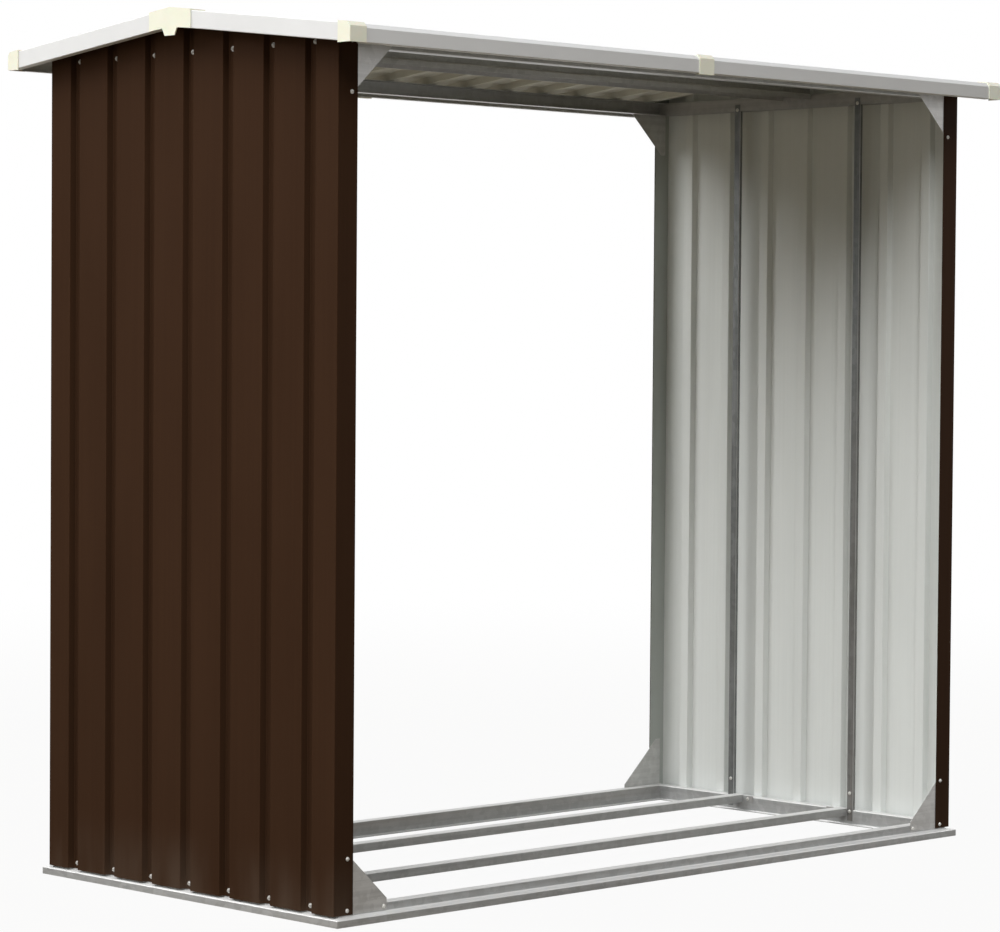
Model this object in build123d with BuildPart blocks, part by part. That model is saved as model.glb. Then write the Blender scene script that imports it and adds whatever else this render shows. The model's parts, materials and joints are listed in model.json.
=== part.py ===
"""Log store: an open steel frame with two ribbed side walls and a low ridged roof.

Millimetres, +Z up. X runs along the store, the front opening faces -Y and the
origin is on the ground under the middle of the base.
"""

import os
from math import atan2, cos, sin, tan

from build123d import *

# Overall sizes
roof_length = 1716.0
roof_depth = 920.0
roof_apex = 1537.5
roof_fall = 52.0

# How far the roof reaches past the walls, and the base past the walls
gable_overhang = 40.0
eave_overhang = 72.2
end_ledge = 4.0
front_ledge = 14.2

# Metal thicknesses, bend radii and clearances
sheet_gauge = 0.5
frame_gauge = 1.0
plate_gauge = 1.0
trim_gauge = 0.6
bend_radius = 1.5
rail_bend = 2.0
seat_gap = 0.3

# Ribs of the wall and roof sheets
rib_depth = 11.5
rib_mouth = 28.0
rib_floor = 21.0
lap_reach = 7.5
corner_pan = 69.8
panel_ribs = 3
sheet_ribs = 3
slope_sheets = 4

# Folded edge of a wall panel
return_width = 43.0

# Base rails, a stepped section with a foot
lip_height = 12.5
flange_rise = 2.5
rail_height = 30.0
rail_width = 22.0
foot_width = 10.0

# Floor rails
floor_rail_width = 25.0
floor_rail_top = 33.0
floor_rail_bottom = 17.0
floor_tab_width = 28.0

# Posts
post_width = 16.0
post_depth = 7.0
post_place_share = 1.52
post_foot = 8.0
post_head_lap = 14.0

# Top frame
top_rail_height = 26.0
ridge_hat_width = 32.0
ridge_flange = 22.0
ridge_lip = 11.0

# Corner gussets
gusset_reach = 108.0
gusset_rise = 109.0
gusset_tip = 20.0
gusset_neck = 12.0

# Roof edge trims and ridge strip
trim_height = 30.5
trim_top_flange = 28.0
trim_low_flange = 15.0
trim_bevel = 6.5
sheet_inset = 3.0
eave_inset = 8.0
ridge_gap = 1.0
strip_flap = 60.0
trim_joint_gap = 0.5

# Plastic caps
cap_wall = 2.0
corner_cap_long = 37.0
corner_cap_short = 30.0
joint_cap_width = 38.0
joint_cap_top = 16.0
joint_cap_low = 11.0
ridge_cap_arm = 56.0
ridge_cap_inward = 33.0
tongue_width = 40.0
tongue_tip = 26.0
tongue_drop = 13.0
cut_margin = 20.0

# Places worked out from the sizes
slope = atan2(roof_fall, roof_depth / 2)
gable_x = roof_length / 2
eave_y = roof_depth / 2
wall_x = gable_x - gable_overhang
wall_y = eave_y - eave_overhang
base_x = wall_x + end_ledge
base_y = wall_y + front_ledge
frame_x = wall_x - rib_depth - sheet_gauge
flange_width = base_x - frame_x
frame_y = base_y - flange_width
inner_x = frame_x - rail_width
inner_y = frame_y - rail_width
rib_drop = (rib_depth + sheet_gauge) / cos(slope)
shelf_height = lip_height + flange_rise
wall_low = shelf_height + rail_bend
frame_top = roof_apex - frame_y * tan(slope) - rib_drop
frame_low = frame_top - top_rail_height
sheet_end = gable_x - sheet_inset
wall_pitch = (wall_y - corner_pan) / panel_ribs
roof_pitch = 2 * sheet_end / (slope_sheets * (sheet_ribs + 1))
post_place = wall_pitch * post_place_share
floor_rail_place = post_place - (post_width + floor_rail_width) / 2 - seat_gap

os.makedirs("parts", exist_ok=True)


def save(part, label):
    """Names a finished piece and writes it to its file."""
    part.label = label
    export_step(part, f"parts/{label}.step")


def folded_sheet(plane, points, gauge, start, end, keeps=(), bend=bend_radius):
    """Sheet folded along the points, its gauge on their left, run along the plane's normal.

    Each entry of keeps is a plane whose upper side is kept. No bend leaves sharp folds.
    """
    with BuildPart() as sheet:
        with BuildSketch(plane.offset(start)):
            with BuildLine():
                if bend > 0:
                    FilletPolyline(*points, radius=bend)
                else:
                    Polyline(*points)
                offset(amount=gauge, kind=Kind.INTERSECTION, side=Side.LEFT)
            make_face()
        extrude(amount=end - start)
        for cut in keeps:
            split(bisect_by=cut, keep=Keep.TOP)
    return sheet.part


def plate(plane, points, start, end):
    """Flat plate with the outline of the points, between two offsets of the plane."""
    with BuildPart() as flat:
        with BuildSketch(plane.offset(start)):
            with BuildLine():
                Polyline(*points, close=True)
            make_face()
        extrude(amount=end - start)
    return flat.part


def mirrored(part, plane):
    """The piece on the other side of a plane."""
    with BuildPart() as other:
        mirror(part, about=plane)
    return other.part


def turned(part):
    """The piece turned half round about the upright axis."""
    with BuildPart() as other:
        add(part, rotation=(0, 0, 180))
    return other.part


def together(parts):
    """Like pieces that share one node."""
    with BuildPart() as group:
        for part in parts:
            add(part)
    return group.part


def pan_height(y):
    """Top of the roof sheets' flat pans at a distance from the ridge."""
    return roof_apex - abs(y) * tan(slope)


# Base rails, mitred at the corners
def base_rail_points(outer):
    """Section of a base rail whose lip stands at the given distance from the middle."""
    riser = outer - flange_width
    web = riser - rail_width
    return [
        (outer, 0),
        (outer, lip_height),
        (riser, shelf_height),
        (riser, rail_height),
        (web, rail_height),
        (web, frame_gauge),
        (web - foot_width, frame_gauge),
    ]


mitre_right = Plane(origin=(base_x, base_y, 0), z_dir=(-1, 1, 0))
mitre_left = Plane(origin=(-base_x, base_y, 0), z_dir=(1, 1, 0))
rear_base = folded_sheet(
    Plane.YZ,
    base_rail_points(base_y),
    frame_gauge,
    -base_x,
    base_x,
    [mitre_right, mitre_left],
    rail_bend,
)
save(rear_base, "rear_base_rail")
save(mirrored(rear_base, Plane.XZ), "front_base_rail")

side_plane = Plane(origin=(0, 0, 0), x_dir=(1, 0, 0), z_dir=(0, -1, 0))
mitre_rear = Plane(origin=(base_x, base_y, 0), z_dir=(1, -1, 0))
mitre_front = Plane(origin=(base_x, -base_y, 0), z_dir=(1, 1, 0))
right_base = folded_sheet(
    side_plane,
    base_rail_points(base_x),
    frame_gauge,
    -base_y,
    base_y,
    [mitre_rear, mitre_front],
    rail_bend,
)
save(right_base, "right_base_rail")
save(mirrored(right_base, Plane.YZ), "left_base_rail")

# Floor rails, each end folded into a tab against the side base rail
rail_near = floor_rail_place - floor_rail_width / 2
rail_far = floor_rail_place + floor_rail_width / 2
with BuildPart() as rear_floor:
    with BuildSketch(Plane.YZ.offset(-inner_x)):
        with BuildLine():
            FilletPolyline(
                (rail_far, floor_rail_bottom),
                (rail_far, floor_rail_top),
                (rail_near, floor_rail_top),
                (rail_near, floor_rail_bottom),
                radius=bend_radius,
            )
            offset(amount=frame_gauge, side=Side.LEFT)
        make_face()
    extrude(amount=2 * inner_x)
    tab_top = floor_rail_top - bend_radius
    tab_points = [
        (rail_near - floor_tab_width, floor_rail_bottom),
        (rail_near + frame_gauge, floor_rail_bottom),
        (rail_near + frame_gauge, tab_top),
        (rail_near - floor_tab_width, tab_top),
    ]
    add(plate(Plane.YZ, tab_points, inner_x - frame_gauge, inner_x))
    add(plate(Plane.YZ, tab_points, -inner_x, frame_gauge - inner_x))
save(rear_floor.part, "rear_floor_rail")
save(mirrored(rear_floor.part, Plane.XZ), "front_floor_rail")

# Wall posts, shallow channels whose flat face runs past the rails it is screwed to
post_near = post_place - post_width / 2
post_far = post_place + post_width / 2
post_face = inner_x - frame_gauge
post_back = post_face + post_depth
with BuildPart() as right_rear_post:
    with BuildSketch(Plane.XY.offset(rail_height)):
        with BuildLine():
            FilletPolyline(
                (post_back, post_far),
                (post_face, post_far),
                (post_face, post_near),
                (post_back, post_near),
                radius=bend_radius,
            )
            offset(amount=frame_gauge, side=Side.LEFT)
        make_face()
    extrude(amount=frame_low - rail_height)
    lap_points = [
        (post_near + bend_radius, post_foot),
        (post_far - bend_radius, post_foot),
        (post_far - bend_radius, frame_low + post_head_lap),
        (post_near + bend_radius, frame_low + post_head_lap),
    ]
    add(plate(Plane.YZ, lap_points, post_face, inner_x))
save(right_rear_post.part, "right_rear_wall_post")
right_front_post = mirrored(right_rear_post.part, Plane.XZ)
save(right_front_post, "right_front_wall_post")
save(mirrored(right_rear_post.part, Plane.YZ), "left_rear_wall_post")
save(mirrored(right_front_post, Plane.YZ), "left_front_wall_post")

# Top rails over the side walls
top_rail_points = [
    (frame_x, frame_low),
    (frame_x, frame_top),
    (inner_x, frame_top),
    (inner_x, frame_low),
]
right_top = folded_sheet(side_plane, top_rail_points, frame_gauge, -frame_y, frame_y)
save(right_top, "right_top_rail")
save(mirrored(right_top, Plane.YZ), "left_top_rail")

# Eave beams between the top rails
eave_beam_points = [
    (inner_y, frame_low),
    (frame_y, frame_low),
    (frame_y, frame_top),
    (inner_y, frame_top),
]
rear_beam = folded_sheet(Plane.YZ, eave_beam_points, frame_gauge, -inner_x, inner_x)
save(rear_beam, "rear_eave_beam")
save(mirrored(rear_beam, Plane.XZ), "front_eave_beam")

# Ridge beam, a hat section lying on the top rails, its lips notched around them
hat_half = ridge_hat_width / 2
hat_edge = hat_half + ridge_flange
hat_top = frame_top + (frame_y - hat_half) * tan(slope)
hat_flange = frame_top + frame_gauge
hat_low = hat_flange - ridge_lip
beam_end = frame_x - seat_gap
with BuildPart() as ridge_beam:
    with BuildSketch(Plane.YZ.offset(-beam_end)):
        with BuildLine():
            FilletPolyline(
                (hat_edge, hat_low),
                (hat_edge, hat_flange),
                (hat_half, hat_flange),
                (hat_half, hat_top),
                (-hat_half, hat_top),
                (-hat_half, hat_flange),
                (-hat_edge, hat_flange),
                (-hat_edge, hat_low),
                radius=bend_radius,
            )
            offset(amount=frame_gauge, side=Side.LEFT)
        make_face()
    extrude(amount=2 * beam_end)
    notch_start = inner_x - seat_gap
    notch_points = [
        (-hat_edge - cut_margin, hat_low - cut_margin),
        (hat_edge + cut_margin, hat_low - cut_margin),
        (hat_edge + cut_margin, frame_top),
        (-hat_edge - cut_margin, frame_top),
    ]
    add(plate(Plane.YZ, notch_points, notch_start, frame_x), mode=Mode.SUBTRACT)
    add(plate(Plane.YZ, notch_points, -frame_x, -notch_start), mode=Mode.SUBTRACT)
save(ridge_beam.part, "ridge_beam")

# Corner gussets outside the frame, in the planes of the two openings
gusset_inner = frame_x - gusset_reach
gusset_neck_x = frame_x - gusset_neck
gusset_high = frame_top - seat_gap
low_points = [
    (frame_x, wall_low),
    (frame_x, wall_low + gusset_rise),
    (gusset_neck_x, wall_low + gusset_rise),
    (gusset_inner, wall_low + gusset_tip),
    (gusset_inner, wall_low),
]
high_points = [
    (frame_x, gusset_high),
    (frame_x, gusset_high - gusset_rise),
    (gusset_neck_x, gusset_high - gusset_rise),
    (gusset_inner, gusset_high - gusset_tip),
    (gusset_inner, gusset_high),
]
low_gusset = plate(side_plane, low_points, frame_y, frame_y + plate_gauge)
high_gusset = plate(side_plane, high_points, frame_y, frame_y + plate_gauge)
right_gussets = together([low_gusset, high_gusset])
front_gussets = together([right_gussets, mirrored(right_gussets, Plane.YZ)])
save(front_gussets, "front_gussets")
save(mirrored(front_gussets, Plane.XZ), "rear_gussets")


# Ribbed sheets
def rib_points(base, place, inward):
    """The four bends of one rib, base being the flat's level and inward its sense."""
    low = base + inward * rib_depth
    return [
        (base, place - rib_mouth / 2),
        (low, place - rib_floor / 2),
        (low, place + rib_floor / 2),
        (base, place + rib_mouth / 2),
    ]


def lap_points_at(base, place, inward, raised):
    """Half rib at a lap, its floor on the lower or the upper layer."""
    low = base + inward * (rib_depth - raised)
    return [
        (low, place - lap_reach),
        (low, place + rib_floor / 2),
        (base, place + rib_mouth / 2),
    ]


# Wall panels, two to a wall, lapped in the middle rib
def wall_panel(raised):
    """Rear panel of the right wall, from the lap to the folded corner."""
    points = lap_points_at(wall_x, 0, -1, raised)
    for number in range(panel_ribs):
        points += rib_points(wall_x, (number + 1) * wall_pitch, -1)
    points += [(wall_x, wall_y), (wall_x - return_width, wall_y)]
    gable_peak = (0, 0, roof_apex - (sheet_gauge + seat_gap) / cos(slope))
    under_rear = Plane(origin=gable_peak, z_dir=(0, -sin(slope), -cos(slope)))
    under_front = Plane(origin=gable_peak, z_dir=(0, sin(slope), -cos(slope)))
    return folded_sheet(
        Plane.XY, points, sheet_gauge, wall_low, roof_apex, [under_rear, under_front]
    )


outer_panel = wall_panel(sheet_gauge)
inner_panel = mirrored(wall_panel(0), Plane.XZ)
save(outer_panel, "right_wall_rear_panel")
save(inner_panel, "right_wall_front_panel")
save(turned(outer_panel), "left_wall_front_panel")
save(turned(inner_panel), "left_wall_rear_panel")

# Roof sheets, four to a slope, lapped in shared ribs
slope_plane = Plane(
    origin=(0, 0, roof_apex), x_dir=(1, 0, 0), z_dir=(0, cos(slope), -sin(slope))
)
slope_run = eave_y / cos(slope)
sheet_ridge = Plane(origin=(0, ridge_gap, 0), z_dir=(0, 1, 0))
sheet_eave = Plane(origin=(0, eave_y - eave_inset, 0), z_dir=(0, -1, 0))
trim_ridge = Plane(origin=(0, 0, 0), z_dir=(0, 1, 0))
trim_eave = Plane(origin=(0, eave_y - trim_bevel, 0), z_dir=(0, -1, 0))


def roof_sheet(number):
    """One sheet of the rear slope, counted from the left, lapping over the one on its right."""
    left = number * (sheet_ribs + 1) * roof_pitch - sheet_end
    right = left + (sheet_ribs + 1) * roof_pitch
    profile = [(0, left)]
    if number > 0:
        profile = lap_points_at(0, left, 1, sheet_gauge)
    for rib in range(sheet_ribs):
        profile += rib_points(0, left + (rib + 1) * roof_pitch, 1)
    if number < slope_sheets - 1:
        profile += [
            (0, right - rib_mouth / 2),
            (rib_depth, right - rib_floor / 2),
            (rib_depth, right + lap_reach),
        ]
    else:
        profile += [(0, right)]
    points = [(along, depth) for depth, along in profile]
    ends = [sheet_ridge, sheet_eave]
    start = -cut_margin
    end = slope_run + cut_margin
    return folded_sheet(slope_plane, points, sheet_gauge, start, end, ends, bend=0)


for number in range(slope_sheets):
    rear_sheet = roof_sheet(number)
    save(rear_sheet, f"rear_roof_sheet_{number + 1}")
    save(mirrored(rear_sheet, Plane.XZ), f"front_roof_sheet_{number + 1}")

# Ridge strip over the gap between the two slopes
strip_half = gable_x - trim_top_flange - seat_gap
strip_rise = trim_gauge / cos(slope)
strip_points = [
    (strip_flap, pan_height(strip_flap) + strip_rise),
    (0, roof_apex + strip_rise),
    (-strip_flap, pan_height(strip_flap) + strip_rise),
]
ridge_strip = folded_sheet(Plane.YZ, strip_points, trim_gauge, -strip_half, strip_half)
save(ridge_strip, "ridge_strip")

# Eave trims with a bevelled top edge, two to a side, meeting under the joint cap
trim_top = pan_height(eave_y) + strip_rise
trim_low = trim_top - trim_height
trim_inner = eave_y - trim_top_flange * cos(slope)
trim_shoulder = eave_y - trim_bevel
eave_trim_points = [
    (eave_y - trim_low_flange, trim_low),
    (eave_y, trim_low),
    (eave_y, trim_top - trim_bevel),
    (trim_shoulder, pan_height(trim_shoulder) + strip_rise),
    (trim_inner, pan_height(trim_inner) + strip_rise),
]
rear_right_eave = folded_sheet(
    Plane.YZ, eave_trim_points, trim_gauge, trim_joint_gap, strip_half
)
save(rear_right_eave, "rear_right_eave_trim")
front_right_eave = mirrored(rear_right_eave, Plane.XZ)
save(front_right_eave, "front_right_eave_trim")
save(mirrored(rear_right_eave, Plane.YZ), "rear_left_eave_trim")
save(mirrored(front_right_eave, Plane.YZ), "front_left_eave_trim")

# Gable trims, one to each slope
gable_trim_points = [
    (gable_x - trim_top_flange, -trim_gauge),
    (gable_x, -trim_gauge),
    (gable_x, trim_height - trim_gauge),
    (gable_x - trim_low_flange, trim_height - trim_gauge),
]
right_rear_gable = folded_sheet(
    slope_plane,
    gable_trim_points,
    trim_gauge,
    -cut_margin,
    slope_run + cut_margin,
    [trim_ridge, trim_eave],
)
save(right_rear_gable, "right_rear_gable_trim")
right_front_gable = mirrored(right_rear_gable, Plane.XZ)
save(right_front_gable, "right_front_gable_trim")
save(mirrored(right_rear_gable, Plane.YZ), "left_rear_gable_trim")
save(mirrored(right_front_gable, Plane.YZ), "left_front_gable_trim")

# Corner caps, each an open-bottomed shell over the ends of two trims
cap_out = seat_gap + cap_wall


def over_trim(y, rise):
    """Height at a rise square to the roof over the trims' top flanges."""
    return pan_height(y) + strip_rise + rise / cos(slope)


def cap_section(outer, inner, rise, low):
    """Section of a cap between two distances from the ridge, its top at a rise over the trims."""
    shoulder = outer - trim_bevel
    return [
        (outer, low),
        (outer, over_trim(outer, rise) - trim_bevel),
        (shoulder, over_trim(shoulder, rise)),
        (inner, over_trim(inner, rise)),
        (inner, low),
    ]


cap_inner_y = eave_y + cap_out - corner_cap_short
cap_inner_x = gable_x + cap_out - corner_cap_long
with BuildPart() as right_rear_cap:
    shell_points = cap_section(eave_y + cap_out, cap_inner_y, cap_out, trim_low)
    add(plate(Plane.YZ, shell_points, cap_inner_x, gable_x + cap_out))
    hollow_points = cap_section(
        eave_y + seat_gap, cap_inner_y - cut_margin, seat_gap, trim_low - cut_margin
    )
    add(
        plate(Plane.YZ, hollow_points, cap_inner_x - cut_margin, gable_x + seat_gap),
        mode=Mode.SUBTRACT,
    )
    upright = right_rear_cap.edges().filter_by(Axis.Z).sort_by(Axis.X)[-2:]
    fillet(upright.sort_by(Axis.Y)[-1], bend_radius)
right_caps = together([right_rear_cap.part, mirrored(right_rear_cap.part, Plane.XZ)])
save(together([right_caps, mirrored(right_caps, Plane.YZ)]), "roof_corner_caps")

# Joint caps, clips around the meeting ends of the eave trims
clip_face = eave_y + cap_out
clip_seat = eave_y + seat_gap
clip_top = clip_face - joint_cap_top
clip_low = clip_face - joint_cap_low
clip_points = [
    (clip_top, over_trim(clip_top, cap_out)),
    (clip_face - trim_bevel, over_trim(clip_face - trim_bevel, cap_out)),
    (clip_face, over_trim(clip_face, cap_out) - trim_bevel),
    (clip_face, trim_low - cap_out),
    (clip_low, trim_low - cap_out),
    (clip_low, trim_low - seat_gap),
    (clip_seat, trim_low - seat_gap),
    (clip_seat, over_trim(clip_seat, seat_gap) - trim_bevel),
    (clip_seat - trim_bevel, over_trim(clip_seat - trim_bevel, seat_gap)),
    (clip_top, over_trim(clip_top, seat_gap)),
]
rear_clip = plate(Plane.YZ, clip_points, -joint_cap_width / 2, joint_cap_width / 2)
save(together([rear_clip, mirrored(rear_clip, Plane.XZ)]), "eave_joint_caps")

# Ridge end caps, a chevron over the gable trims with a tongue below them
tongue_root = roof_apex - trim_height - (tongue_width / 2) * tan(slope)
tongue_low = tongue_root - tongue_drop
arm_low = over_trim(ridge_cap_arm, 0) - trim_height
chevron_points = [
    (0, over_trim(0, cap_out)),
    (-ridge_cap_arm, over_trim(ridge_cap_arm, cap_out)),
    (-ridge_cap_arm, arm_low),
    (-tongue_width / 2, tongue_root),
    (-tongue_tip / 2, tongue_low),
    (tongue_tip / 2, tongue_low),
    (tongue_width / 2, tongue_root),
    (ridge_cap_arm, arm_low),
    (ridge_cap_arm, over_trim(ridge_cap_arm, cap_out)),
]
space_reach = ridge_cap_arm + cut_margin
space_points = [
    (0, over_trim(0, seat_gap)),
    (-space_reach, over_trim(space_reach, seat_gap)),
    (-space_reach, tongue_low - cut_margin),
    (space_reach, tongue_low - cut_margin),
    (space_reach, over_trim(space_reach, seat_gap)),
]
cap_start = gable_x + cap_out - ridge_cap_inward
with BuildPart() as right_ridge_cap:
    add(plate(Plane.YZ, chevron_points, cap_start, gable_x + cap_out))
    add(
        plate(Plane.YZ, space_points, cap_start - cut_margin, gable_x + seat_gap),
        mode=Mode.SUBTRACT,
    )
save(
    together([right_ridge_cap.part, mirrored(right_ridge_cap.part, Plane.YZ)]),
    "ridge_end_caps",
)
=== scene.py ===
# %% [markdown]
# # The log store
#
# This is an open store for split logs, sold flat in a box and screwed together in the garden.
# Thin zinc-coated steel is folded into rails and posts, and ribbed sheets, painted in a coil long
# before they were folded, close the two ends and the roof.
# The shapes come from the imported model. Here they get their finishes and their screws, and then
# a studio to stand in.

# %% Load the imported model
import json
import math

import bpy
from mathutils import Matrix, Vector


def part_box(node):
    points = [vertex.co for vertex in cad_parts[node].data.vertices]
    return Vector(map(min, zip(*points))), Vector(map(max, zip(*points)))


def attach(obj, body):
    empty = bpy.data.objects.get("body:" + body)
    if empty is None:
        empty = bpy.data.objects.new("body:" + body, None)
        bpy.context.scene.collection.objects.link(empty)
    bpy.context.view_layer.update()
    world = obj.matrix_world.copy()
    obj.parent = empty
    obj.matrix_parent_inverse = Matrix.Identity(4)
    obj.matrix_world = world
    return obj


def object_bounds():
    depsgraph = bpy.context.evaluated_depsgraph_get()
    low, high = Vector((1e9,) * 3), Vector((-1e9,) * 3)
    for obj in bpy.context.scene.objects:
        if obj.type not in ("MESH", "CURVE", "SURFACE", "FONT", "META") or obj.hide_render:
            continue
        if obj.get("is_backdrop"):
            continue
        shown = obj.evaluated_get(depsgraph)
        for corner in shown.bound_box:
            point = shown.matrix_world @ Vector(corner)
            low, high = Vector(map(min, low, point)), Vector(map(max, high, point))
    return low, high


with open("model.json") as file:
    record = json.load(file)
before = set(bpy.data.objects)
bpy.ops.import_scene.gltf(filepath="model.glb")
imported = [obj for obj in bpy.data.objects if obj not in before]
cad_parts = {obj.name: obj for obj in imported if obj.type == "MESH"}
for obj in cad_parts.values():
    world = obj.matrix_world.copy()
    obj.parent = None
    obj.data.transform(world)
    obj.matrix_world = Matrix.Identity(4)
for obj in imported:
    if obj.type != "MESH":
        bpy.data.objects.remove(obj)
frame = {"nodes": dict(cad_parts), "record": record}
packed_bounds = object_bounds()
shapes = frame["nodes"]
slots = {part["node"]: part["material_slot"] for part in frame["record"]["subparts"]}
print(len(shapes), "shapes in the frame, in slots", sorted(set(slots.values())))

# %% [markdown]
# ## Reading sizes off the frame
#
# Screws and finishes have to land on the metal, so their places are worked out from the boxes of
# the shapes they belong to. Only what a box cannot tell, such as the spacing of the ribs, is
# written down as a number. Everything is in metres, with the front opening towards minus Y.

# %% Measure the walls and the frame
wall_low, wall_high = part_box("right_wall_front_panel")
wall_face = wall_high.x
wall_foot = wall_low.z
return_edge = wall_low.x
return_face = -wall_low.y
gusset_low, gusset_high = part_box("rear_gussets")
gusset_face = gusset_high.y
rail_low, rail_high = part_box("right_top_rail")
post_low, post_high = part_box("right_rear_wall_post")
base_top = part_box("right_base_rail")[1].z

sheet_gauge = 0.0005
rib_depth = 0.0115
wall_rib_pitch = 0.106
wall_ribs = range(-3, 4)
groove_face = wall_face - rib_depth
print("wall face", round(wall_face, 4), "groove floor", round(groove_face, 4))

# %% [markdown]
# ## Writing a finish as sums
#
# A finish is a small calculation: how grey is the zinc here, how rough is the paint there. Wiring
# that by hand hides the sum, so a wire is wrapped in a class whose plus, minus and times add the
# Math nodes. Every other node comes from one method, which sets the node up before joining it.

# %% A wire that can be added and multiplied
class Wire:
    """One value on its way through a finish."""

    def __init__(self, tree, socket=None):
        self.tree = tree
        self.socket = socket

    def node(self, kind, settings=None, values=None, output=0):
        made = self.tree.nodes.new(kind)
        for name, value in (settings or {}).items():
            setattr(made, name, value)
        for name, value in (values or {}).items():
            if isinstance(value, Wire):
                self.tree.links.new(value.socket, made.inputs[name])
            else:
                made.inputs[name].default_value = value
        return Wire(self.tree, made.outputs[output] if made.outputs else None)

    def sum(self, operation, other=0.0, turned=False):
        pair = {0: other, 1: self} if turned else {0: self, 1: other}
        return self.node("ShaderNodeMath", {"operation": operation}, pair)

    def __add__(self, other):
        return self.sum("ADD", other)

    def __radd__(self, other):
        return self.sum("ADD", other, True)

    def __sub__(self, other):
        return self.sum("SUBTRACT", other)

    def __rsub__(self, other):
        return self.sum("SUBTRACT", other, True)

    def __mul__(self, other):
        return self.sum("MULTIPLY", other)

    def __rmul__(self, other):
        return self.sum("MULTIPLY", other, True)

    def __gt__(self, other):
        return self.sum("GREATER_THAN", other)

    def __lt__(self, other):
        return self.sum("LESS_THAN", other)

    def __abs__(self):
        return self.sum("ABSOLUTE")

    def sign(self):
        return self.sum("SIGN")

    def most(self, other):
        return self.sum("MAXIMUM", other)

    def step(self, low, high):
        """0 below low, 1 above high and a soft step between."""
        return self.node("ShaderNodeMapRange", {"interpolation_type": "SMOOTHSTEP"},
                         {"Value": self, "From Min": low, "From Max": high})

    def blend(self, first, second):
        """The first colour where this wire is 0 and the second where it is 1."""
        return self.node("ShaderNodeMix", {"data_type": "RGBA"},
                         {"Factor": self, 6: first, 7: second}, 2)

    def parts(self):
        """The three parts of a vector."""
        split = self.node("ShaderNodeSeparateXYZ", {}, {0: self}).socket.node
        return [Wire(self.tree, socket) for socket in split.outputs]


print("a finish can now be written as a sum")

# %% [markdown]
# ## Starting and ending a finish
#
# Each finish starts from the same two facts about a spot on the metal: where it is, and which way
# it faces. It ends in a surface with a colour, a roughness and a little relief. Colours are
# written as they would be measured, in linear light, the darker shade of a finish first.

# %% Start a finish, add grain, and end it
def start_finish(name):
    finish = bpy.data.materials.new(name)
    finish.use_nodes = True
    finish.node_tree.nodes.clear()
    start = Wire(finish.node_tree)
    place = start.node("ShaderNodeTexCoord", {}, {}, "Object")
    facing = start.node("ShaderNodeNewGeometry", {}, {}, "True Normal")
    return finish, place, facing


def cloudy(place, stretch, scale, detail=3.0):
    """Cloudy grain, from 0 to 1, stretched by three factors along the axes."""
    spread = place.node("ShaderNodeVectorMath", {"operation": "MULTIPLY"}, {0: place, 1: stretch})
    return place.node("ShaderNodeTexNoise", {},
                      {"Vector": spread, "Scale": scale, "Detail": detail, "Roughness": 0.55})


def end_finish(finish, colour, rough, relief, depth, more=None):
    """relief is a height from 0 to 1, and depth its real height in metres."""
    bump = relief.node("ShaderNodeBump", {}, {"Height": relief, "Strength": 1.0, "Distance": depth},
                       "Normal")
    given = {"Base Color": colour, "Roughness": rough, "Normal": bump}
    surface = relief.node("ShaderNodeBsdfPrincipled", {}, {**given, **(more or {})}, "BSDF")
    relief.node("ShaderNodeOutputMaterial", {}, {"Surface": surface})
    return finish


print("helpers for finishes are ready")

# %% [markdown]
# ## Zinc-coated steel
#
# The rails, posts and gussets are dipped in molten zinc before they are folded. The zinc freezes
# in flat crystals about a fingertip wide, the spangle, each a slightly different grey. A picture
# of zinc could be wrapped round every rail, but a Voronoi texture gives each crystal its own grey
# without seams, on any shape.
# The mill's rolls leave streaks along the strip, so the finish takes the direction in which
# its rail runs. Where the strip is folded the zinc is painted brighter, a painted highlight
# along the bends, and faces that look up are painted paler and made matt, a painted top light.
# The posts are given a darker zinc than the rails, which is painted shade, and the flat
# gussets a lighter one, which is painted light.

# %% Zinc for rails, posts and gussets
rail_shades = ((0.38, 0.385, 0.385, 1), (0.52, 0.53, 0.53, 1))
# Painted shade: the posts get a darker zinc than the rails. Painted light: the gussets get a lighter
# one.
post_painted_shade = ((0.20, 0.21, 0.21, 1), (0.31, 0.32, 0.32, 1))
gusset_painted_light = ((0.50, 0.495, 0.485, 1), (0.66, 0.655, 0.645, 1))
brown_tarnish = (0.38, 0.31, 0.27, 1)
painted_fold_highlight = (0.76, 0.76, 0.75, 1)
painted_top_light = (0.80, 0.80, 0.79, 1)


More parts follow.
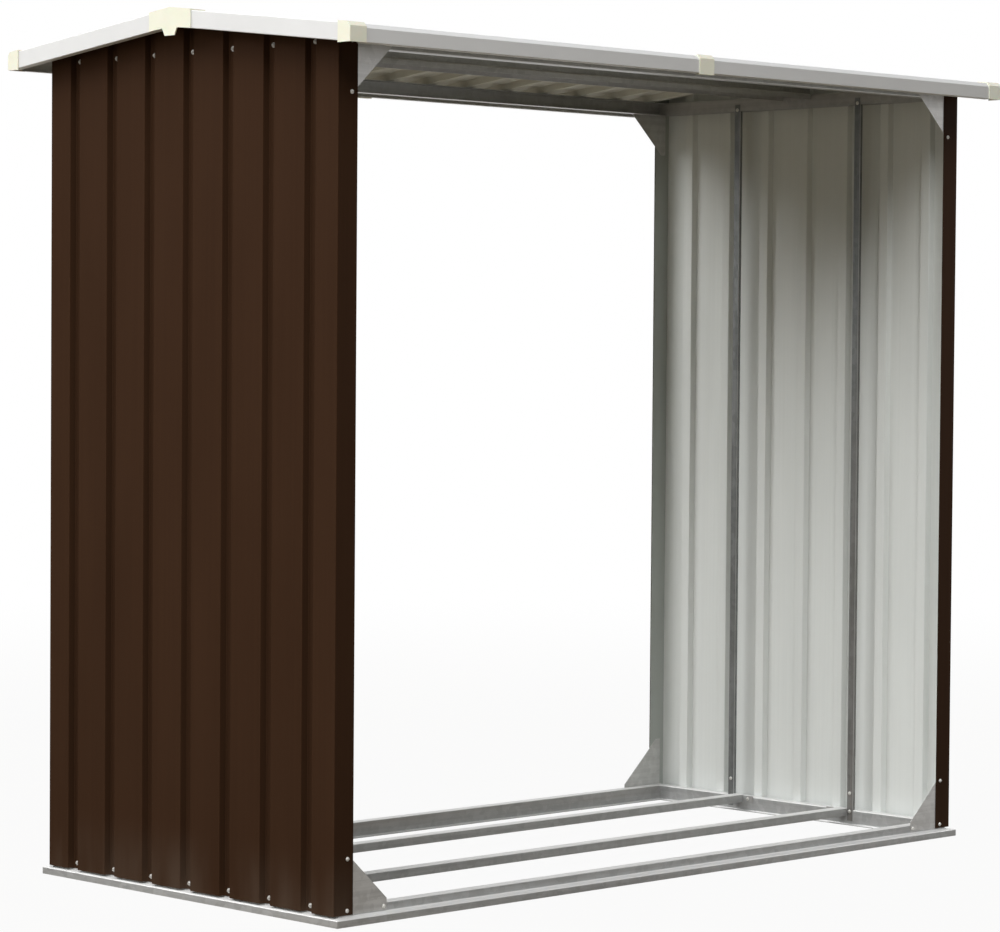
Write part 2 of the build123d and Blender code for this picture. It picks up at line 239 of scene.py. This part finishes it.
def zinc_finish(name, run, shades, shine):
    finish, place, facing = start_finish(name)
    wander = cloudy(place, (1, 1, 1), 60.0)
    warped = place.node("ShaderNodeVectorMath", {"operation": "MULTIPLY_ADD"},
                        {0: wander, 1: (0.012, 0.012, 0.012), 2: place})
    crystal = place.node("ShaderNodeTexVoronoi", {}, {"Vector": warped, "Scale": 85.0}, "Color")
    grey = crystal.parts()[0]
    along = [0.02 if axis == run else 1.0 for axis in range(3)]
    lines = cloudy(place, along, 900.0, 2.0)
    streaks = cloudy(place, along, 120.0)
    dull = cloudy(place, (1, 1, 1), 6.0)
    tarnish = cloudy(place, along, 14.0).step(0.52, 0.72)

    nx, ny, nz = facing.parts()
    flat = abs(nx).most(abs(ny)).most(abs(nz))
    fold = 1.0 - flat.step(0.90, 0.999)
    up_facing = nz.step(0.5, 0.9)

    tone = (0.15 * grey + 0.20 * lines + 0.40 * streaks + 0.25 * dull).step(0.30, 0.70)
    colour = tone.blend(*shades)
    colour = (0.35 * tarnish).blend(colour, brown_tarnish)
    # Painted highlight: the folds are blended towards a light zinc.
    colour = (0.6 * fold).blend(colour, painted_fold_highlight)
    # Painted top light: faces that look up are blended towards a pale zinc, and are made matt.
    colour = (0.75 * up_facing).blend(colour, painted_top_light)
    rough = 0.32 + 0.08 * grey + 0.10 * dull - 0.05 * fold + 0.15 * up_facing
    relief = 0.5 * lines + 0.5 * dull
    metal = shine - 0.7 * shine * up_facing
    return end_finish(finish, colour, rough, relief, 0.00025, {"Metallic": metal})


rail_zinc = [zinc_finish("Zinc along " + axis, run, rail_shades, 0.40)
             for run, axis in enumerate("XYZ")]
post_zinc = zinc_finish("Zinc, post", 2, post_painted_shade, 0.85)
gusset_zinc = zinc_finish("Zinc, gusset", 0, gusset_painted_light, 0.65)
print("zinc finishes:", [finish.name for finish in rail_zinc + [post_zinc, gusset_zinc]])

# %% [markdown]
# ## Painted wall sheet
#
# Wall sheet is painted in the coil: the good side dark brown, the back only a thin pale coat.
# Two materials on two sets of faces would do, but the imported shape is left whole here, so one
# finish asks which side of the sheet a spot is on.
# On the ribbed wall the outside faces away from the middle of the store, and on the return it
# faces out of the opening. The cut edges and a narrow hem inside the return are brown as well.
# On the bends of the ribs the brown is painted lighter, a painted highlight. The back of the
# return is painted a darker grey than the rest of the inside, which is painted shade.

# %% Brown outside and pale inside
brown_shades = ((0.0375, 0.0180, 0.0094, 1), (0.0515, 0.0252, 0.0133, 1))
pale_shades = ((0.76, 0.785, 0.765, 1), (0.83, 0.855, 0.835, 1))
return_painted_shade = (0.43, 0.455, 0.43, 1)
foot_grey = (0.30, 0.26, 0.21, 1)
hem_width = 0.0012
foot_rise = 0.12


def wall_finish():
    finish, place, facing = start_finish("Wall sheet, brown and pale")
    x, y, z = place.parts()
    nx, ny, nz = facing.parts()
    outward = (nx * x.sign()) > 0.12
    on_return = abs(y) > gusset_face
    corner = on_return * ((ny * y.sign()) > 0.5)
    shaded_return_back = on_return * ((ny * y.sign()) < -0.5)
    hem = abs(x) < return_edge + hem_width
    outside = outward.most(corner).most(hem).most(abs(nz) > 0.5)

    peel = cloudy(place, (1, 1, 1), 800.0, 2.0)
    mottle = cloudy(place, (1, 1, 0.25), 9.0)
    drawn = cloudy(place, (1, 1, 0.01), 160.0, 2.0)
    swell = cloudy(place, (1, 1, 0.35), 7.0, 1.0)
    painted_bend_highlight = abs(nx).step(0.55, 0.75) * (1.0 - abs(nx).step(0.93, 0.995))
    # Towards the foot of the wall the brown is blended in patches towards a lighter grey.
    foot_patches = (1.0 - z.step(wall_foot, wall_foot + foot_rise)) * mottle.step(0.35, 0.75)

    # Painted highlight: the brown is lighter on the bends of the ribs.
    brown = (0.35 * mottle + 0.25 * drawn + 0.2 * peel + 0.3 * painted_bend_highlight).step(0.2, 0.75)
    brown = (0.12 * foot_patches).blend(brown.blend(*brown_shades), foot_grey)
    pale = (0.55 * mottle + 0.25 * drawn + 0.2 * peel).step(0.25, 0.75)
    # Painted shade: the back of the return is given a darker grey than the rest of the inside.
    pale = shaded_return_back.blend(pale.blend(*pale_shades), return_painted_shade)
    colour = outside.blend(pale, brown)
    rough = 0.46 + 0.10 * mottle + 0.08 * drawn - 0.06 * outside
    relief = 0.94 * swell + 0.05 * mottle + 0.012 * peel
    return end_finish(finish, colour, rough, relief, 0.004, {"Specular IOR Level": 0.02})


wall_coat = wall_finish()
print("wall finish:", wall_coat.name)

# %% [markdown]
# ## Roof sheet and trims
#
# The roof sheets, the ridge strip and the folded trims round the edge are off-white. The strip
# and the trims have a smoother, brighter coat than the sheets. The underside of the sheets has
# the same kind of pale back coat as the walls, a little warmer.
# The photo doesn't show the upper side. It is kept matt, so that it doesn't turn into a mirror
# when it is looked at along the roof: a rougher surface does that without a change of colour.

# %% Off-white roof and light trims
upper_shades = ((0.52, 0.52, 0.49, 1), (0.60, 0.60, 0.57, 1))
under_shades = ((0.69, 0.69, 0.63, 1), (0.77, 0.77, 0.72, 1))
trim_shades = ((0.72, 0.725, 0.725, 1), (0.80, 0.805, 0.805, 1))


def roof_finish():
    finish, place, facing = start_finish("Roof sheet, off-white")
    top = facing.parts()[2] > 0.0
    peel = cloudy(place, (1, 1, 1), 800.0, 2.0)
    mottle = cloudy(place, (1, 0.3, 1), 8.0)
    drawn = cloudy(place, (1, 0.01, 1), 160.0, 2.0)
    tone = (0.6 * mottle + 0.25 * drawn + 0.15 * peel).step(0.25, 0.75)
    colour = top.blend(tone.blend(*under_shades), tone.blend(*upper_shades))
    rough = 0.46 + 0.14 * mottle + 0.25 * top
    relief = 0.8 * mottle + 0.15 * drawn + 0.05 * peel
    return end_finish(finish, colour, rough, relief, 0.0012, {"Specular IOR Level": 0.05})


def trim_finish():
    finish, place, facing = start_finish("Trim, light coat")
    nx, ny, nz = facing.parts()
    flat = abs(nx).most(abs(ny)).most(abs(nz))
    fold = 1.0 - flat.step(0.90, 0.99)
    peel = cloudy(place, (1, 1, 1), 900.0, 2.0)
    mottle = cloudy(place, (1, 1, 1), 7.0)
    # Painted highlight: the folds are pushed towards the lighter trim shade.
    tone = (0.5 * mottle + 0.2 * peel + 0.4 * fold).step(0.2, 0.8)
    rough = 0.34 + 0.12 * mottle + 0.40 * nz.step(0.5, 0.9)
    relief = 0.9 * mottle + 0.1 * peel
    return end_finish(finish, tone.blend(*trim_shades), rough, relief, 0.0008,
                      {"Specular IOR Level": 0.03})


roof_coat = roof_finish()
trim_coat = trim_finish()
print("roof finishes:", roof_coat.name, "and", trim_coat.name)

# %% [markdown]
# ## Moulded caps
#
# The corners of the trims are hidden under caps moulded in a cream plastic, with the satin gloss
# that a finely textured mould leaves. A brighter paint would look too hard for that, so a little
# light is let into the plastic and a clear coat lies over it.

# %% Cream plastic
cream_shades = ((0.84, 0.83, 0.68, 1), (0.88, 0.87, 0.73, 1))


def cap_finish():
    finish, place, facing = start_finish("Cap, cream plastic")
    grain = cloudy(place, (1, 1, 1), 1200.0, 2.0)
    mottle = cloudy(place, (1, 1, 1), 25.0)
    tone = (0.7 * mottle + 0.3 * grain).step(0.25, 0.75)
    rough = 0.38 + 0.15 * grain
    return end_finish(finish, tone.blend(*cream_shades), rough, grain, 0.00006,
                      {"Subsurface Weight": 0.1, "Subsurface Scale": 0.004, "Coat Weight": 0.6})


cap_plastic = cap_finish()
print("cap finish:", cap_plastic.name)

# %% [markdown]
# ## Putting the finishes on
#
# The record gives every shape a slot. A zinc rail takes the zinc whose lines run along its
# longest side. The shapes themselves stay as they were packed.

# %% Dress the shapes
def longest_axis(name):
    low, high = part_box(name)
    spans = list(high - low)
    return spans.index(max(spans))


def finish_for(name):
    slot = slots[name]
    if slot == "zinc":
        other = {"post": post_zinc, "gussets": gusset_zinc}.get(name.split("_")[-1])
        return other or rail_zinc[longest_axis(name)]
    if slot == "brown_coat":
        return wall_coat
    if slot == "cream_plastic":
        return cap_plastic
    return roof_coat if "sheet" in name else trim_coat


worn = {}
for name, shape in shapes.items():
    finish = finish_for(name)
    shape.data.materials.clear()
    shape.data.materials.append(finish)
    worn[finish.name] = worn.get(finish.name, 0) + 1
print("shapes to each finish:", worn)

# %% [markdown]
# ## Screws
#
# Bright screw heads show at the joints in the photo. They are made as pan heads on a washer, with
# the slots of a cross-point driver: a larger one with a broad washer where it holds thin sheet, a
# smaller one in the frame.
# About a hundred copies set by hand would be hard to move, so one head is modelled, and a Geometry
# Nodes tree sets a copy on each place where a screw goes, turned to stand out from the metal.

# %% Bright zinc for the screws
screw_shades = ((0.74, 0.73, 0.69, 1), (0.88, 0.87, 0.84, 1))


def screw_finish():
    finish, place, facing = start_finish("Screw, bright zinc")
    grain = cloudy(place, (1, 1, 1), 1500.0, 2.0)
    stain = cloudy(place, (1, 1, 1), 150.0)
    tone = (0.5 * grain + 0.5 * stain).step(0.2, 0.8)
    rough = 0.34 + 0.16 * stain
    return end_finish(finish, tone.blend(*screw_shades), rough, grain, 0.00004, {"Metallic": 0.35})


screw_zinc = screw_finish()
print("screw finish:", screw_zinc.name)

# %% A tree that sets a screw on every point
round_sides = 14
crown_share = 0.62
blade_share = 1.05
slot_share = 0.85
slot_turns = (math.radians(45), math.radians(-45))


def screw_tree():
    tree = bpy.data.node_groups.new("Set screws", "GeometryNodeTree")
    face = tree.interface
    face.new_socket("Places", in_out="INPUT", socket_type="NodeSocketGeometry")
    for name in ("Head Radius", "Head Height", "Washer Radius", "Washer Height", "Slot Width"):
        face.new_socket(name, in_out="INPUT", socket_type="NodeSocketFloat")
    face.new_socket("Finish", in_out="INPUT", socket_type="NodeSocketMaterial")
    face.new_socket("Screws", in_out="OUTPUT", socket_type="NodeSocketGeometry")
    start = Wire(tree)
    given = start.node("NodeGroupInput").socket.node
    size = {socket.name: Wire(tree, socket) for socket in given.outputs}

    def moved(mesh, height, turn=0.0):
        lift = start.node("ShaderNodeCombineXYZ", {}, {"Z": height})
        return start.node("GeometryNodeTransform", {},
                          {"Geometry": mesh, "Translation": lift, "Rotation": (0, 0, turn)})

    washer = start.node("GeometryNodeMeshCylinder", {}, {
        "Vertices": round_sides, "Radius": size["Washer Radius"], "Depth": size["Washer Height"]},
        "Mesh")
    head = start.node("GeometryNodeMeshCone", {}, {
        "Vertices": round_sides, "Radius Top": crown_share * size["Head Radius"],
        "Radius Bottom": size["Head Radius"], "Depth": size["Head Height"]}, "Mesh")
    bar = start.node("ShaderNodeCombineXYZ", {}, {
        "X": blade_share * size["Head Radius"], "Y": size["Slot Width"], "Z": size["Head Height"]})
    blade = start.node("GeometryNodeMeshCube", {}, {"Size": bar}, "Mesh")
    driven = moved(head, 0.0)
    for turn in slot_turns:
        driven = start.node("GeometryNodeMeshBoolean", {"operation": "DIFFERENCE"}, {
            "Mesh 1": driven, "Mesh 2": moved(blade, size["Head Height"] * slot_share, turn)}, "Mesh")
    both = tree.nodes.new("GeometryNodeJoinGeometry")
    for part in (moved(washer, size["Washer Height"] * 0.5), moved(driven, size["Washer Height"])):
        tree.links.new(part.socket, both.inputs[0])
    outward = start.node("GeometryNodeInputNamedAttribute", {"data_type": "FLOAT_VECTOR"},
                         {"Name": "outward"})
    turned = start.node("FunctionNodeAlignRotationToVector", {"axis": "Z"}, {"Vector": outward})
    copies = start.node("GeometryNodeInstanceOnPoints", {}, {
        "Points": size["Places"], "Instance": Wire(tree, both.outputs[0]), "Rotation": turned})
    real = start.node("GeometryNodeRealizeInstances", {}, {"Geometry": copies})
    done = start.node("GeometryNodeSetMaterial", {}, {"Geometry": real, "Material": size["Finish"]})
    tree.links.new(done.socket, tree.nodes.new("NodeGroupOutput").inputs[0])
    return tree


set_screws = screw_tree()
print("screw tree has", len(set_screws.nodes), "nodes")

# %% [markdown]
# ## Where the screws go
#
# A place is a point on the metal and the way out of it. The wall sheet is screwed to the base and
# to the top rail in the floor of every groove. The returns are screwed through the gussets, the
# posts and floor rails to the base, and the roof in its grooves over the eave beams.
# Both ends and both openings match, so each place is written once and mirrored.

# %% A place and its mirror images
sheet_places = []
frame_places = []
same_place = 0.001


def mirrored_place(places, point, outward):
    for side in (1, -1):
        for end in (1, -1):
            spot = Vector((side * point[0], end * point[1], point[2]))
            away = Vector((side * outward[0], end * outward[1], outward[2]))
            if all((spot - old).length > same_place for old, way in places):
                places.append((spot, away))


print("a place can be mirrored to both ends and both openings")

# %% Places in the walls and returns
base_screw_lift = 0.001
wall_screw_lift = 0.0025
top_screw_drop = 0.002
base_screw_height = 0.5 * (wall_foot + base_top) + base_screw_lift
wall_screw_height = base_screw_height + wall_screw_lift
top_screw_height = 0.5 * (rail_low.z + rail_high.z) - top_screw_drop
for rib in wall_ribs:
    floor_face = groove_face + (sheet_gauge if rib == 0 else 0.0)
    for height in (wall_screw_height, top_screw_height):
        mirrored_place(sheet_places, (floor_face, rib * wall_rib_pitch, height), (1, 0, 0))

return_inset = 0.0130
low_gusset_rise = 0.094
high_gusset_drop = 0.100
return_line = return_edge + return_inset
for height in (base_screw_height, wall_foot + low_gusset_rise,
               rail_high.z - high_gusset_drop, top_screw_height):
    mirrored_place(frame_places, (return_line, return_face, height), (0, 1, 0))
print(len(sheet_places), "screws in the wall sheet and", len(frame_places), "in the returns")

# %% Places in the gussets, posts and floor rails
tip_reach = 0.1015
tip_rise = 0.0065
for height in (gusset_low.z + tip_rise, gusset_high.z - tip_rise):
    mirrored_place(frame_places, (gusset_high.x - tip_reach, gusset_face, height), (0, 1, 0))

post_foot_heights = (0.027, 0.064)
post_head_drop = 0.008
post_line = 0.5 * (post_low.y + post_high.y)
for height in (*post_foot_heights, top_screw_height - post_head_drop):
    mirrored_place(frame_places, (post_low.x, post_line, height), (-1, 0, 0))

tab_gauge = 0.001
tab_line = 0.014
tab_low, tab_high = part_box("rear_floor_rail")
tab_middle = 0.5 * (tab_low.z + tab_high.z)
mirrored_place(frame_places, (tab_high.x - tab_gauge, tab_low.y + tab_line, tab_middle), (-1, 0, 0))
print(len(frame_places), "screws in the frame")

# %% Places in the roof
roof_rib_pitch = 0.106875
roof_ribs = range(8)
lapped_ribs = (0, 4)
rise_to_run = 0.11304
slope = math.atan(rise_to_run)
up_slope = (0, math.sin(slope), math.cos(slope))
sheet_low, sheet_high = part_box("rear_roof_sheet_2")
eave_low, eave_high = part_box("rear_eave_beam")
eave_line = 0.5 * (eave_low.y + eave_high.y)
fall_to_eave = (eave_line - sheet_low.y) * math.tan(slope)
groove_top = sheet_high.z - rib_depth / math.cos(slope) - fall_to_eave
for rib in roof_ribs:
    lap = sheet_gauge if rib in lapped_ribs else 0.0
    mirrored_place(sheet_places, (rib * roof_rib_pitch, eave_line, groove_top + lap), up_slope)
print(len(sheet_places), "screws in the sheet with the roof's")

# %% [markdown]
# ## Setting them
#
# The places become the points of a small mesh, with the way out stored on each point. The tree
# turns that into screw heads, and the heads are kept as a plain mesh, so nothing has to be worked
# out again when the store is opened elsewhere.

# %% Turn the places into screws
def make_screws(name, spots, sizes):
    mesh = bpy.data.meshes.new(name + " places")
    mesh.from_pydata([spot for spot, away in spots], [], [])
    ways = mesh.attributes.new("outward", "FLOAT_VECTOR", "POINT")
    for way, (spot, away) in zip(ways.data, spots):
        way.vector = away
    carrier = bpy.data.objects.new(name + " places", mesh)
    bpy.context.scene.collection.objects.link(carrier)
    setter = carrier.modifiers.new("Set screws", "NODES")
    setter.node_group = set_screws
    for item in set_screws.interface.items_tree:
        if item.in_out == "INPUT" and item.name in sizes:
            setter[item.identifier] = sizes[item.name]
    ready = carrier.evaluated_get(bpy.context.evaluated_depsgraph_get())
    screws = bpy.data.objects.new(name, bpy.data.meshes.new_from_object(ready))
    bpy.context.scene.collection.objects.link(screws)
    bpy.data.objects.remove(carrier)
    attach(screws, "root")
    return screws


sheet_screw = {"Head Radius": 0.0034, "Head Height": 0.0026, "Washer Radius": 0.0043,
               "Washer Height": 0.0010, "Slot Width": 0.0011, "Finish": screw_zinc}
frame_screw = {"Head Radius": 0.0031, "Head Height": 0.0021, "Washer Radius": 0.0037,
               "Washer Height": 0.0008, "Slot Width": 0.0010, "Finish": screw_zinc}
for name, places, sizes in (("Sheet_screws", sheet_places, sheet_screw),
                            ("Frame_screws", frame_places, frame_screw)):
    screws = make_screws(name, places, sizes)
    print(screws.name + ":", len(screws.data.polygons), "faces")

# %% [markdown]
# ## The studio
#
# The photo shows the store on white. Lamps that make a backdrop white would light the store too,
# so the floor and the space behind simply show white to the camera.
# Zinc is half a mirror, so it is shown that white too, fully where it lies to the right and
# behind, and dimmer on the camera's left, which keeps the zinc as dark as it is in the photo.
# The floor still takes a little of the store's shadow, and throws back a little warm light.

# %% White floor and world
bright_side = (0.95, 0.30, 0.0)
dim_share = 0.12
floor_grey = (0.20, 0.17, 0.125, 1)
floor_reach = 30.0
floor_near_share = 0.95
white = (1, 1, 1, 1)


def sees_backdrop(start, place, near, far):
    """How much of the white backdrop a ray is shown, and a mirror less of it on the left."""
    rays = start.node("ShaderNodeLightPath").socket.node
    camera, mirror, glass = [Wire(start.tree, rays.outputs["Is " + kind + " Ray"])
                             for kind in ("Camera", "Glossy", "Transmission")]
    along = start.node("ShaderNodeVectorMath", {"operation": "DOT_PRODUCT"},
                       {0: place, 1: bright_side}, "Value")
    shown = dim_share + (1.0 - dim_share) * along.step(near, far)
    return camera.most(glass).most(mirror * shown)


def white_floor():
    finish = bpy.data.materials.new("Studio floor")
    finish.use_nodes = True
    finish.node_tree.nodes.clear()
    start = Wire(finish.node_tree)
    matt = start.node("ShaderNodeBsdfDiffuse", {}, {"Color": floor_grey})
    glow = start.node("ShaderNodeEmission", {}, {"Color": white, "Strength": 1.0})
    spot = start.node("ShaderNodeNewGeometry", {}, {}, "Position")
    away = start.node("ShaderNodeVectorMath", {"operation": "LENGTH"}, {0: spot}, "Value")
    clear = floor_near_share + (1.0 - floor_near_share) * away.step(2.0, 7.0)
    share = sees_backdrop(start, spot, -0.5, 2.5) * clear
    mixed = start.node("ShaderNodeMixShader", {}, {0: share, 1: matt, 2: glow})
    start.node("ShaderNodeOutputMaterial", {}, {"Surface": mixed})
    mesh = bpy.data.meshes.new("Studio floor")
    corners = [(x * floor_reach, y * floor_reach, 0) for x, y in ((-1, -1), (1, -1), (1, 1), (-1, 1))]
    mesh.from_pydata(corners, [], [(0, 1, 2, 3)])
    mesh.materials.append(finish)
    floor = bpy.data.objects.new("Studio floor", mesh)
    bpy.context.scene.collection.objects.link(floor)
    floor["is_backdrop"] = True


def white_world(light_level):
    world = bpy.data.worlds.new("Studio")
    world.use_nodes = True
    world.node_tree.nodes.clear()
    start = Wire(world.node_tree)
    way = start.node("ShaderNodeTexCoord", {}, {}, "Generated")
    strength = light_level + sees_backdrop(start, way, -0.5, 0.9) * (1.0 - light_level)
    sky = start.node("ShaderNodeBackground", {}, {"Color": white, "Strength": strength})
    start.node("ShaderNodeOutputWorld", {}, {"Surface": sky})
    bpy.context.scene.world = world


white_floor()
white_world(light_level=0.05)
print("floor and world are white")

# %% [markdown]
# ## The lamps
#
# The light in the photo is broad and soft, and comes from the left and high up. Two large square
# lamps do most of the work: one shines in through the front opening and one through the rear.
# A weaker, lower lamp at either end evens out the end walls, so that the far one doesn't go black
# when the store is walked round. A bright world would be simpler, but lights every side alike.

# %% Soft lamps
middle = Vector((0.0, 0.0, 0.8))


def soft_lamp(name, place, width, power):
    light = bpy.data.lights.new(name, "AREA")
    light.shape = "SQUARE"
    light.size = width
    light.energy = power
    lamp = bpy.data.objects.new(name, light)
    lamp.location = place
    lamp.rotation_euler = (middle - Vector(place)).to_track_quat("-Z", "Y").to_euler()
    bpy.context.scene.collection.objects.link(lamp)


soft_lamp("Rear left light", place=(-5.0, 5.0, 6.4), width=6.4, power=610.0)
soft_lamp("Front left light", place=(-4.3, -4.3, 8.0), width=6.4, power=720.0)
soft_lamp("Left light", place=(-7.0, 0.0, 2.6), width=3.8, power=112.0)
soft_lamp("Right light", place=(7.0, 0.5, 2.6), width=4.0, power=260.0)
print("lamps are set")

# %% [markdown]
# ## The camera
#
# The camera was worked out from the corners of the store in the photograph: it stands about six
# and a half metres away, off the left front corner and nearly a metre above the ground, with a
# long lens, which keeps the uprights almost parallel. Turning it by eye would take many tries.

# %% Place the camera
camera_place = Vector((-4.60108, -4.62890, 0.96403))
turn, nod, tilt = 0.77591, -0.03471, 0.0076
focal_pixels = 3446.57
picture_width = 1000.0
sensor = 36.0

ahead = Vector((math.sin(turn) * math.cos(nod), math.cos(turn) * math.cos(nod), math.sin(nod)))
level = Vector((math.cos(turn), -math.sin(turn), 0.0))
upright = level.cross(ahead)
right = math.cos(tilt) * level + math.sin(tilt) * upright
up = math.cos(tilt) * upright - math.sin(tilt) * level
aim = Matrix((right, up, -ahead)).transposed().to_4x4()

lens = bpy.data.cameras.new("Camera")
lens.sensor_fit = "HORIZONTAL"
lens.sensor_width = sensor
lens.lens = focal_pixels / picture_width * sensor
lens.clip_end = 200.0
camera = bpy.data.objects.new("Camera", lens)
camera.matrix_world = Matrix.Translation(camera_place) @ aim
bpy.context.scene.collection.objects.link(camera)
bpy.context.scene.camera = camera
bpy.context.scene.view_settings.view_transform = "Standard"
print("lens", round(lens.lens, 1), "mm")

# %% [markdown]
# ## The size
#
# The finished store should stay the size that was packed, so both sizes are set side by side,
# and the dressed size is printed.

# %% Set the sizes side by side and print the dressed one
dressed_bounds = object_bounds()
sizes = {"packed": [list(corner) for corner in packed_bounds],
         "dressed": [list(corner) for corner in dressed_bounds]}
print("size", [round(high - low, 4) for low, high in zip(*sizes["dressed"])])
